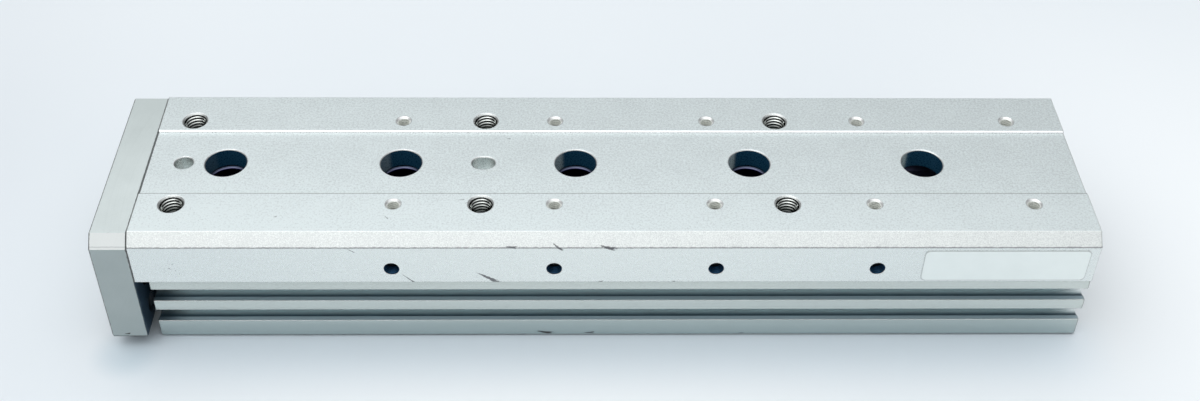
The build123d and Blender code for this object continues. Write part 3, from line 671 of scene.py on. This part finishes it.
def ground_steel():
    finish = Finish("ground_rail_steel", Metallic=1.0)
    scratches = grain(finish, (12.0, 0.06, 0.06), detail=3.0)
    film = grain(finish, (9.0, 3.0, 3.0), detail=3.0)
    colour = mix(finish, scratches, grey(0.36, 0.004, 0.012), grey(0.50, 0.004, 0.012))
    # Edges: wear and a painted highlight.
    rounded, edge_wear_and_highlight = edge(finish, 0.1)
    colour = mix(finish, edge_wear_and_highlight * 0.3, colour, grey(0.6))

    # Painted shade where the rails and the guide block are seen through the table's holes, and on
    # the faces by the rollers.
    steel_in_shade = (0.012, 0.014, 0.06, 1)
    above_guide = guide_top_z + 0.5
    round_hole = hole_row(finish, access_r + 0.7, above_guide) * 0.95
    colour = mix(finish, round_hole, colour, (0.035, 0.05, 0.09, 1))
    hole_edge = hole_row(finish, access_r + 0.08, above_guide)
    colour = mix(finish, hole_edge, colour, (0.15, 0.15, 0.22, 1))
    hole_walls = hole_row(finish, access_r - 0.05, guide_top_z - 0.05)
    colour = mix(finish, hole_walls, colour, steel_in_shade)
    under_work_hole = step(finish, from_work_hole(finish), 2.3, 2.2)
    past_last = work_xs[2] + 6.0
    under_work_hole = under_work_hole * step(finish, finish.x, past_last, past_last - 1.0)
    colour = mix(finish, under_work_hole, colour, (0.01, 0.012, 0.02, 1))
    facing = finish.facing()
    running = step(finish, abs(finish.y), 8.0, 8.1) * step(finish, abs(finish.y), 12.0, 11.0)
    running = running * step(finish, abs(facing[0]), 0.6, 0.4)
    colour = mix(finish, running * 0.9, colour, steel_in_shade)
    return finish.shine(
        Base_Color=colour,
        Roughness=0.2 + scratches * 0.12 + film * 0.1,
        Normal=bump(finish, scratches, 0.006, rounded),
    )


# %% [markdown]
# ## Turned and polished round pieces
#
# Rod covers, head caps and pistons are turned on a lathe, so their marks are rings about the
# bore. Both bores can share one finish: the distance from the nearer bore's axis draws rings
# on the flat ends, and X draws them round the outside. A hard-chromed rod is ground and
# polished instead, with the same rings hundreds of times shallower.

# %% Turned aluminium and polished steel
bore_y = 10.5
bore_z = 9.5


def bore_rings(finish, width):
    """Fine rings about the nearer bore's axis, on end faces and round the outside."""
    radius = from_both(abs(finish.y) - bore_y, finish.z - bore_z)
    return grain(finish, width, detail=2.0, where=finish.join(finish.x, radius, 0.0))


def turned(name, low, high, roughness, width, depth, metallic=1.0):
    """A finish of lathe rings between two greys."""
    finish = Finish(name, Metallic=metallic)
    rings = bore_rings(finish, width)
    cloud = grain(finish, 3.0, detail=3.0)
    colour = mix(finish, rings * 0.7 + cloud * 0.3, low, high)
    # Edges: wear and a painted highlight.
    rounded, edge_wear_and_highlight = edge(finish, 0.08)
    colour = mix(finish, edge_wear_and_highlight * 0.5, colour, grey(0.9))
    # Painted shade in the gap between the end plate and the body.
    in_the_gap = step(finish, finish.x, body_start_x + 0.3, body_start_x + 0.1)
    colour = mix(finish, in_the_gap * 0.9, colour, (0.02, 0.05, 0.08, 1))
    relief = bump(finish, rings, depth, rounded)
    shine = roughness + (cloud - 0.5) * 0.08 + rings * 0.05
    return finish.shine(Base_Color=colour, Roughness=shine, Normal=relief)


# %% [markdown]
# ## Screws, clips, cages and rollers
#
# Small steel pieces differ mostly in how dark and how rough they are. Screws are plain bright
# steel; clips keep a black film that wears off at the edges; a roller cage is thin bright
# sheet; rollers are lapped like mirrors. One recipe makes them all, with the size of its grain
# and the brightness of its worn edges as the differences.

# %% Small steel pieces
def small_steel(name, low, high, roughness, spot, worn_to, metallic=1.0):
    """A finish for small steel pieces, mottled between two colours and rubbed at its edges."""
    finish = Finish(name, Metallic=metallic)
    spots = grain(finish, spot, detail=3.0)
    cloud = grain(finish, 2.2, detail=3.0)
    colour = mix(finish, spots * 0.6 + cloud * 0.4, low, high)
    rounded, edge_wear_and_highlight = edge(finish, 0.08)
    rubbed = edge_wear_and_highlight * step(finish, cloud, 0.3, 0.6)
    colour = mix(finish, rubbed * 0.8, colour, worn_to)
    # Painted shade in the gap at the end plate's joint.
    in_the_gap = step(finish, abs(finish.x - joint_x), 0.3, 0.2)
    colour = mix(finish, in_the_gap * 0.8, colour, (0.04, 0.06, 0.08, 1))
    relief = bump(finish, spots, 0.004, rounded)
    shine = roughness + (spots - 0.5) * 0.15
    return finish.shine(Base_Color=colour, Roughness=shine, Normal=relief)


# %% [markdown]
# ## Insert wire
#
# The coils of a thread insert are wound from polished wire with a diamond section. Their edges
# mirror the sky; the gaps between the turns, where the wire meets the wall, and the faces that
# look down are painted black as shade. The distance from the nearest hole's axis and the way a
# face looks tell them apart, and each turn further down is painted darker, as painted shade.

# %% Insert wire
def insert_wire():
    finish = Finish("bright_insert_wire", Metallic=1.0)
    from_axis = from_work_hole(finish)
    facing = finish.facing()
    # Painted shade: the gaps between the turns and the faces that look down are black.
    crest = step(finish, from_axis, 2.25, 2.19) * step(finish, facing[2], -0.2, 0.2)
    mottle = grain(finish, 0.7, detail=3.0)
    polished = mix(finish, mottle, grey(0.92, -0.04, -0.05), grey(1.0, -0.03, -0.03))
    colour = mix(finish, crest, grey(0.008), polished)
    # Painted shade: each turn further down is darker.
    deep = step(finish, finish.z, top_z - 1.2, top_z - 3.6)
    colour = mix(finish, deep * 0.9, colour, grey(0.01, -0.003, -0.001))
    relief = bump(finish, mottle, 0.01)
    return finish.shine(Base_Color=colour, Roughness=0.14 + mottle * 0.08, Normal=relief)


# %% [markdown]
# ## Rubber, resin and the blank label
#
# Seals and dampers are matt black rubber with a dusty bloom, the magnet is a bonded grey ring
# and the wear ring is ivory resin. The label on the side is thin silver-white film. It is left
# blank here, and it still shows what film shows: a satin face, tiny dents and a soft sheen.

# %% Soft materials and film
def plain_stuff(name, low, high, roughness, spot, depth):
    """A finish without metal: two close colours in spots of one size, with fine relief."""
    finish = Finish(name, Metallic=0.0)
    spots = grain(finish, spot, detail=4.0)
    cloud = grain(finish, 4.0, detail=3.0)
    colour = mix(finish, spots * 0.5 + cloud * 0.5, low, high)
    relief = bump(finish, spots, depth)
    shine = roughness + (cloud - 0.5) * 0.15
    return finish.shine(Base_Color=colour, Roughness=shine, Normal=relief)


def label_film():
    finish = Finish("silver_label_film", **{"Metallic": 0.8, "Coat Roughness": 0.2})
    satin = grain(finish, (0.08, 0.08, 0.6), detail=2.0)
    dents = grain(finish, 3.5, detail=2.0)
    spots = satin * 0.4 + dents * 0.6
    colour = mix(finish, spots, grey(0.88, -0.05, -0.02), grey(0.96, -0.045, -0.02))
    low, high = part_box("label_plate")
    middle = (low + high) / 2 / MM
    size = (high - low) / MM
    corner = 1.2
    past_x = (abs(finish.x - middle.x) - size.x / 2 + corner).math("MAXIMUM", 0.0)
    past_z = (abs(finish.z - middle.z) - size.z / 2 + corner).math("MAXIMUM", 0.0)
    from_rim = corner - from_both(past_x, past_z)
    colour = mix(finish, step(finish, from_rim, 0.22, 0.1) * 0.5, colour, grey(0.3))
    relief = bump(finish, dents + satin * 0.1, 0.01)
    return finish.shine(
        Base_Color=colour, Roughness=0.32 + satin * 0.08, Coat_Weight=0.3, Normal=relief
    )


# %% Give every CAD node its finish
finishes = {
    "body_aluminium": body_finish,
    "table_aluminium": table_finish,
    "plate_aluminium": plate_finish,
    "turned_aluminium": turned(
        "turned_aluminium_rings", grey(0.58), grey(0.74),
        roughness=0.28, width=0.1, depth=0.006, metallic=0.9,
    ),
    "rail_steel": ground_steel(),
    "screw_steel": small_steel(
        "bright_screw_steel", grey(0.50, 0.01, -0.01), grey(0.68, 0.01, -0.02),
        roughness=0.3, spot=0.12, worn_to=grey(0.85),
    ),
    "clip_steel": small_steel(
        "phosphated_spring_steel", grey(0.03, 0.0, 0.004), grey(0.08),
        roughness=0.42, spot=0.1, worn_to=grey(0.35),
    ),
    "insert_steel": insert_wire(),
    "rod_steel": turned(
        "hard_chrome_rod", grey(0.68), grey(0.78), roughness=0.09, width=0.12, depth=0.0008
    ),
    "roller_steel": small_steel(
        "lapped_roller_steel", grey(0.62), grey(0.74), roughness=0.12, spot=0.4, worn_to=grey(0.9)
    ),
    "cage_steel": small_steel(
        "bright_cage_sheet", grey(0.48, 0.01), grey(0.6, 0.01),
        roughness=0.3, spot=0.2, worn_to=grey(0.8),
    ),
    "seal_rubber": plain_stuff(
        "black_seal_rubber", grey(0.012), grey(0.035), roughness=0.6, spot=0.15, depth=0.006
    ),
    "magnet_rubber": plain_stuff(
        "bonded_magnet_rubber", grey(0.05, 0.006), grey(0.10, 0.008),
        roughness=0.55, spot=0.1, depth=0.008,
    ),
    "wear_resin": plain_stuff(
        "ivory_wear_resin", (0.62, 0.58, 0.46, 1), (0.74, 0.70, 0.58, 1),
        roughness=0.45, spot=0.3, depth=0.003,
    ),
    "label_film": label_film(),
}
slot_of = {part["node"]: part["material_slot"] for part in frame["record"]["subparts"]}
for name, node in nodes.items():
    for held in node.material_slots:
        held.material = finishes[slot_of[name]]
print("dressed", len(nodes), "CAD nodes in", len(finishes), "finishes")

# %% [markdown]
# ## Geometry Nodes for what winds and repeats
#
# A thread is one ridge that winds down a hole. It could be cut turn by turn in a mesh editor,
# but then each size would be cut again, so one tree makes every thread of this object: it
# winds a spiral, sweeps a diamond-shaped wire along it, and sets a copy on each point of the
# mesh it is given. Half of the diamond hides in the wall, and the other half is the ridge.

# %% Make a tree with named sizes
def new_tree(name, sizes):
    """An empty Geometry Nodes tree on a bench, its named inputs and its output."""
    tree = bpy.data.node_groups.new(name, "GeometryNodeTree")
    tree.interface.new_socket("Geometry", in_out="INPUT", socket_type="NodeSocketGeometry")
    for title, kind in sizes:
        tree.interface.new_socket(title, in_out="INPUT", socket_type="NodeSocket" + kind)
    tree.interface.new_socket("Geometry", in_out="OUTPUT", socket_type="NodeSocketGeometry")
    bench = Bench(tree)
    entry = tree.nodes.new("NodeGroupInput")
    given = {socket.name: Value(bench, socket) for socket in entry.outputs if socket.name}
    return bench, given


def finish_tree(bench, given, geometry):
    """Ends a tree: real copies, their material, and the way out."""
    real = bench.node("GeometryNodeRealizeInstances", {}, {0: geometry})
    dressed = bench.node(
        "GeometryNodeSetMaterial", {}, {"Geometry": real, "Material": given["Material"]}
    )
    way_out = bench.tree.nodes.new("NodeGroupOutput")
    bench.feed(way_out, {0: dressed})
    return bench.tree


# %% The thread tree
def thread_tree():
    bench, given = new_tree(
        "wound_thread",
        [
            ("Radius", "Float"),
            ("Depth", "Float"),
            ("Pitch", "Float"),
            ("Ridge height", "Float"),
            ("Ridge width", "Float"),
            ("Steps per turn", "Int"),
            ("Turn", "Vector"),
            ("Material", "Material"),
        ],
    )
    spiral = bench.node(
        "GeometryNodeCurveSpiral",
        {},
        {
            "Resolution": given["Steps per turn"],
            "Rotations": given["Depth"] / given["Pitch"],
            "Start Radius": given["Radius"],
            "End Radius": given["Radius"],
            "Height": given["Depth"],
        },
    )
    upright = bench.node("GeometryNodeSetCurveNormal", {"mode": "Z_UP"}, {"Curve": spiral})
    diamond = bench.node(
        "GeometryNodeCurvePrimitiveQuadrilateral",
        {"mode": "KITE"},
        {
            "Width": given["Ridge height"] * 2.0,
            "Bottom Height": given["Ridge width"] / 2.0,
            "Top Height": given["Ridge width"] / 2.0,
        },
    )
    wound = bench.node(
        "GeometryNodeCurveToMesh",
        {},
        {"Curve": upright, "Profile Curve": diamond, "Fill Caps": True},
    )
    turned_to = bench.node("FunctionNodeEulerToRotation", {}, {0: given["Turn"]})
    copies = bench.node(
        "GeometryNodeInstanceOnPoints",
        {},
        {"Points": given["Geometry"], "Instance": wound, "Rotation": turned_to},
    )
    return finish_tree(bench, given, copies)


wound_thread = thread_tree()
print("tree:", wound_thread.name, len(wound_thread.nodes), "nodes")

# %% [markdown]
# ## From a tree to a plain piece
#
# The part's export drops instances and modifiers that are still live, so each piece is made
# final here: the places go into a mesh of loose points, the tree runs on it, and the result
# becomes the piece's own mesh. Its faces are then turned outwards, because a swept wire can
# come out inside out, and it is given to the body that it moves with.

# %% Make a tree's result a plain piece
def made_piece(name, tree, points, sizes, body, slot_name):
    """Runs a tree on points given in millimetres and keeps the mesh it makes."""
    spots = bpy.data.meshes.new(name + "_spots")
    spots.from_pydata([Vector(point) * MM for point in points], [], [])
    piece = bpy.data.objects.new(name, spots)
    scene.collection.objects.link(piece)
    modifier = piece.modifiers.new("make", "NODES")
    modifier.node_group = tree
    sizes = {**sizes, "Material": finishes[slot_name]}
    for item in tree.interface.items_tree:
        if item.in_out == "INPUT" and item.name in sizes:
            modifier[item.identifier] = sizes[item.name]
    evaluated = piece.evaluated_get(bpy.context.evaluated_depsgraph_get())
    mesh = bpy.data.meshes.new_from_object(evaluated)
    piece.modifiers.remove(modifier)
    piece.data = mesh
    whole = bmesh.new()
    whole.from_mesh(mesh)
    bmesh.ops.recalc_face_normals(whole, faces=whole.faces)
    for face in whole.faces:
        face.smooth = False
    whole.to_mesh(mesh)
    print(name, len(points), "copies,", len(whole.faces), "faces")
    whole.free()
    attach(piece, body)
    return piece


# %% [markdown]
# ## Wire inserts and tapped holes
#
# Soft aluminium wears at a thread that is used often, so the six work-mounting holes of the
# table are lined with a coil of bright diamond wire. The CAD model has each as a plain sleeve,
# and the coils take its place. The other tapped holes are cut straight into the metal, so
# their ridges carry the metal's own finish. Depths stop above the screws that fill the holes.

# %% Wire inserts
straight_up = (0.0, 0.0, 0.0)
coils = made_piece(
    "insert_coils",
    wound_thread,
    [(x, y, top_z - 4.55) for x in work_xs for y in (-work_y, work_y)],
    {
        "Radius": 2.42 * MM,
        "Depth": 4.0 * MM,
        "Pitch": 0.8 * MM,
        "Ridge height": 0.34 * MM,
        "Ridge width": 0.74 * MM,
        "Steps per turn": 40,
        "Turn": straight_up,
    },
    "table",
    "insert_steel",
)
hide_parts("thread_inserts")

# %% Tapped holes
along_x = (0.0, math.radians(90), 0.0)
along_y = (math.radians(-90), 0.0, 0.0)


def tapped(name, points, radius, depth, pitch, turn, body, slot_name):
    """Thread ridges in plain CAD holes; each point is where a thread's lower end is."""
    sizes = {
        "Radius": radius * MM,
        "Depth": depth * MM,
        "Pitch": pitch * MM,
        "Ridge height": 0.22 * pitch * MM,
        "Ridge width": 0.8 * pitch * MM,
        "Steps per turn": 32,
        "Turn": turn,
    }
    return made_piece(name, wound_thread, points, sizes, body, slot_name)


port_xs = (-68.2, 95.3)
rail_screw_places = [(x, y) for x in rail_screw_xs for y in (-work_y, work_y)]
tapped(
    "rail_hole_threads",
    [(x, y, top_z - 2.5) for x, y in rail_screw_places],
    radius=1.27, depth=1.9, pitch=0.5,
    turn=straight_up, body="table", slot_name="table_aluminium",
)
tapped(
    "set_screw_hole_threads",
    [(x, table_side_y + 0.2, set_screw_z) for x in rail_screw_xs[:4]],
    radius=1.67, depth=2.0, pitch=0.5,
    turn=along_y, body="table", slot_name="table_aluminium",
)
tapped(
    "plate_work_threads",
    [(plate_x + 0.7, y, z) for y in (-plate_work_y, plate_work_y) for z in plate_work_zs],
    radius=2.12, depth=6.6, pitch=0.8,
    turn=along_x, body="table", slot_name="plate_aluminium",
)
tapped(
    "air_port_threads",
    [(x, body_side_y - 5.4, bore_z) for x in port_xs],
    radius=2.12, depth=5.0, pitch=0.8,
    turn=along_y, body="cylinder", slot_name="body_aluminium",
)
tapped(
    "foot_threads",
    [(mount_pitch * i, 0.0, 0.8) for i in range(-2, 3)],
    radius=2.62, depth=9.0, pitch=1.0,
    turn=straight_up, body="cylinder", slot_name="body_aluminium",
)

# %% [markdown]
# ## Knurled screw heads
#
# A socket cap screw has fine ridges round its head, so that fingers can spin it in. Forty
# small prisms round each head make them. The tree draws a circle of points, sets a prism on
# each and turns it to face outwards, and does that at every screw.

# %% The knurl tree
def knurl_tree():
    bench, given = new_tree(
        "knurled_head",
        [
            ("Radius", "Float"),
            ("Height", "Float"),
            ("Ridge size", "Float"),
            ("Ridges", "Int"),
            ("Turn", "Vector"),
            ("Material", "Material"),
        ],
    )
    ring = bench.node(
        "GeometryNodeMeshCircle", {}, {"Vertices": given["Ridges"], "Radius": given["Radius"]}
    )
    ridge = bench.node(
        "GeometryNodeMeshCylinder",
        {},
        {"Vertices": 3, "Radius": given["Ridge size"], "Depth": given["Height"]},
    )
    outward = bench.node("GeometryNodeInputPosition")
    facing = bench.node(
        "FunctionNodeAlignRotationToVector", {"axis": "X"}, {"Vector": outward}
    )
    head = bench.node(
        "GeometryNodeInstanceOnPoints", {}, {"Points": ring, "Instance": ridge, "Rotation": facing}
    )
    turned_to = bench.node("FunctionNodeEulerToRotation", {}, {0: given["Turn"]})
    copies = bench.node(
        "GeometryNodeInstanceOnPoints",
        {},
        {"Points": given["Geometry"], "Instance": head, "Rotation": turned_to},
    )
    return finish_tree(bench, given, copies)


knurled_head = knurl_tree()
print("tree:", knurled_head.name, len(knurled_head.nodes), "nodes")


def knurls(name, points, radius, height, turn, body):
    """Ridges round cap screw heads; each point is the middle of a head."""
    sizes = {
        "Radius": (radius - 0.02) * MM,
        "Height": height * MM,
        "Ridge size": 0.13 * MM,
        "Ridges": 40,
        "Turn": turn,
    }
    return made_piece(name, knurled_head, points, sizes, body, "screw_steel")


# %% Knurl the heads that can be seen
m3_head_r = 2.75
m4_head_r = 3.5
m4_head_h = 4.0
m4_seat_depth = 4.3
guide_screw_xs = (-57.0, -19.0, 19.0, 57.0)
guide_head_z = guide_top_z - m4_seat_depth + m4_head_h / 2
plate_screw_y = 21.2
plate_screw_zs = (21.3, 27.9)
plate_head_x = plate_x + 1.9
rod_end_head_x = joint_x - 5.5
rail_head_z = 21.7
knurls(
    "guide_screw_knurls",
    [(x, 0.0, guide_head_z) for x in guide_screw_xs],
    radius=m4_head_r, height=3.2, turn=straight_up, body="cylinder",
)
knurls(
    "plate_screw_knurls",
    [(plate_head_x, y, z) for y in (-plate_screw_y, plate_screw_y) for z in plate_screw_zs],
    radius=m3_head_r, height=2.3, turn=along_x, body="table",
)
knurls(
    "rod_end_screw_knurls",
    [(rod_end_head_x, y, bore_z) for y in (-bore_y, bore_y)],
    radius=m3_head_r, height=2.3, turn=along_x, body="table",
)
knurls(
    "rail_screw_knurls",
    [(x, y, rail_head_z) for x, y in rail_screw_places],
    radius=m3_head_r, height=2.3, turn=straight_up, body="table",
)

# %% [markdown]
# ## Floor, light and camera
#
# The part was photographed from close by on a smooth white sheet, in the soft light of a
# bright room: hardly any shadow, only a dark line where the body touches the sheet. A world
# that is bright overhead and dimmer towards the horizon gives that light and also what the
# metal mirrors. One wide lamp overhead adds a slight direction. Light and shade are also
# painted on the sheet: it is paler by the front, the back and the right, darker by the left,
# and a bluish painted shadow lies along the body's foot and by the end plate's corner. The
# camera stands where the hole pitches and edges of the photograph put it.

# %% Floor
def paper_floor():
    finish = Finish("white_paper_floor", Metallic=0.0)
    fibre = grain(finish, 0.6, detail=4.0)
    cloud = grain(finish, 60.0, detail=2.0)
    spots = fibre * 0.3 + cloud * 0.7
    colour = mix(finish, spots, (0.78, 0.82, 0.855, 1), (0.82, 0.855, 0.885, 1))
    # Painted shade: darker by the left.
    left = step(finish, finish.x, -90.0, -190.0)
    colour = mix(finish, left * 0.9, colour, (0.72, 0.755, 0.79, 1))

    # Painted pools of light by the front, the right and the back.
    from_front = from_point(finish, (0.0, -105.0, 0.0))
    front = step(finish, from_front, 140.0, 30.0) * 0.95
    right = step(finish, finish.x, 60.0, 160.0) * step(finish, finish.y, 130.0, 20.0)
    back = step(finish, finish.y, 30.0, 110.0) * 0.25
    painted_light_pools = (front + right + back).math("MINIMUM", 1.0)
    colour = mix(finish, painted_light_pools, colour, (0.925, 0.945, 0.96, 1))

    # Painted shadow: bluish along the body's foot and by the end plate's corner.
    painted_body_shadow = step(finish, finish.y, -42.0, -24.0) * step(finish, finish.y, -15.0, -22.0)
    painted_body_shadow = painted_body_shadow * step(finish, finish.x, -104.0, -92.0)
    painted_body_shadow = painted_body_shadow * step(finish, finish.x, 122.0, 104.0)
    colour = mix(finish, painted_body_shadow * 0.6, colour, (0.72, 0.82, 0.90, 1))
    from_corner = from_point(finish, (-98.0, -27.0, 0.0))
    painted_corner_shadow = step(finish, from_corner, 9.0, 2.0) * 0.35
    colour = mix(finish, painted_corner_shadow, colour, (0.40, 0.54, 0.62, 1))
    return finish.shine(Base_Color=colour, Roughness=0.7, Normal=bump(finish, fibre, 0.01))


floor_mesh = bpy.data.meshes.new("floor")
reach = 3.0
just_below = -0.0001
corners = [(-reach, -reach), (reach, -reach), (reach, reach), (-reach, reach)]
floor_mesh.from_pydata([(x, y, just_below) for x, y in corners], [], [(0, 1, 2, 3)])
floor_mesh.materials.append(paper_floor())
floor = bpy.data.objects.new("floor", floor_mesh)
scene.collection.objects.link(floor)
print("floor", 2 * reach, "m square")

# %% Light of the room
world = bpy.data.worlds.new("bright_room")
scene.world = world
world.use_nodes = True
room = Bench(world.node_tree)
direction = room.node("ShaderNodeTexCoord")
height = room.node("ShaderNodeSeparateXYZ", {}, {0: direction})
along, away, up = [Value(room, socket) for socket in height.socket.node.outputs]
overhead = room.node(
    "ShaderNodeMapRange",
    {"interpolation_type": "SMOOTHSTEP"},
    {"Value": up, "From Min": 0.36, "From Max": 0.95, "To Min": 0.14, "To Max": 1.66},
)
strength = overhead * (1.0 - along * 0.2 - away * 0.24)
room.feed(
    world.node_tree.nodes["Background"], {"Color": (0.95, 0.98, 1.0, 1), "Strength": strength}
)

lamp_data = bpy.data.lights.new("wide_lamp", "AREA")
lamp_data.shape = "RECTANGLE"
lamp_data.size = 1.2
lamp_data.size_y = 0.8
lamp_data.energy = 1.2
lamp_data.color = (1.0, 0.99, 0.97)
lamp = bpy.data.objects.new("wide_lamp", lamp_data)
lamp.location = (-0.5, -0.3, 0.9)
lamp.rotation_euler = (-lamp.location).to_track_quat("-Z", "Y").to_euler()
scene.collection.objects.link(lamp)
print("lamp", round(lamp.location.length, 2), "m away,", round(lamp_data.energy, 2), "W")

# %% Camera
camera_data = bpy.data.cameras.new("camera")
camera_data.sensor_width = 36.0
camera_data.lens = 45.68
camera = bpy.data.objects.new("camera", camera_data)
camera.location = (-0.00143, -0.2540, 0.24627)
camera.rotation_euler = [math.radians(angle) for angle in (48.375, -0.775, -0.867)]
scene.collection.objects.link(camera)
scene.camera = camera
scene.view_settings.view_transform = "Standard"
print("camera", round(camera.location.length, 3), "m away, lens", round(camera_data.lens, 2))
